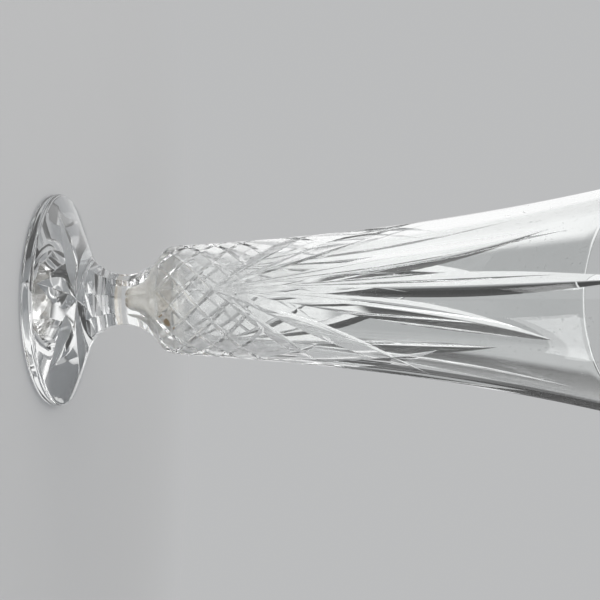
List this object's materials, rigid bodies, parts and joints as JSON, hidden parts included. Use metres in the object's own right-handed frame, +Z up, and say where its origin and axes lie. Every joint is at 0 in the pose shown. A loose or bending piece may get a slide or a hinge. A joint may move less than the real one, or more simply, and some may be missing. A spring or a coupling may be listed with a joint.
{
  "type": "footed bud vase",
  "caption": "Tall clear cut-glass bud vase with a flared bowl, panelled neck and round foot, standing on its flat base.",
  "frame": {"origin": "centre of the foot's flat base", "axes": "+Z up the vase's axis towards the mouth, +X to the right and +Y away when the vase is seen from the front"},
  "size_m": [0.0728, 0.0728, 0.176],
  "materials": {
    "clear_glass": "polished clear crystal with cut facets"
  },
  "bodies": {
    "root": {"foot": "clear_glass", "stem": "clear_glass", "bowl": "clear_glass"}
  },
  "joints": []
}
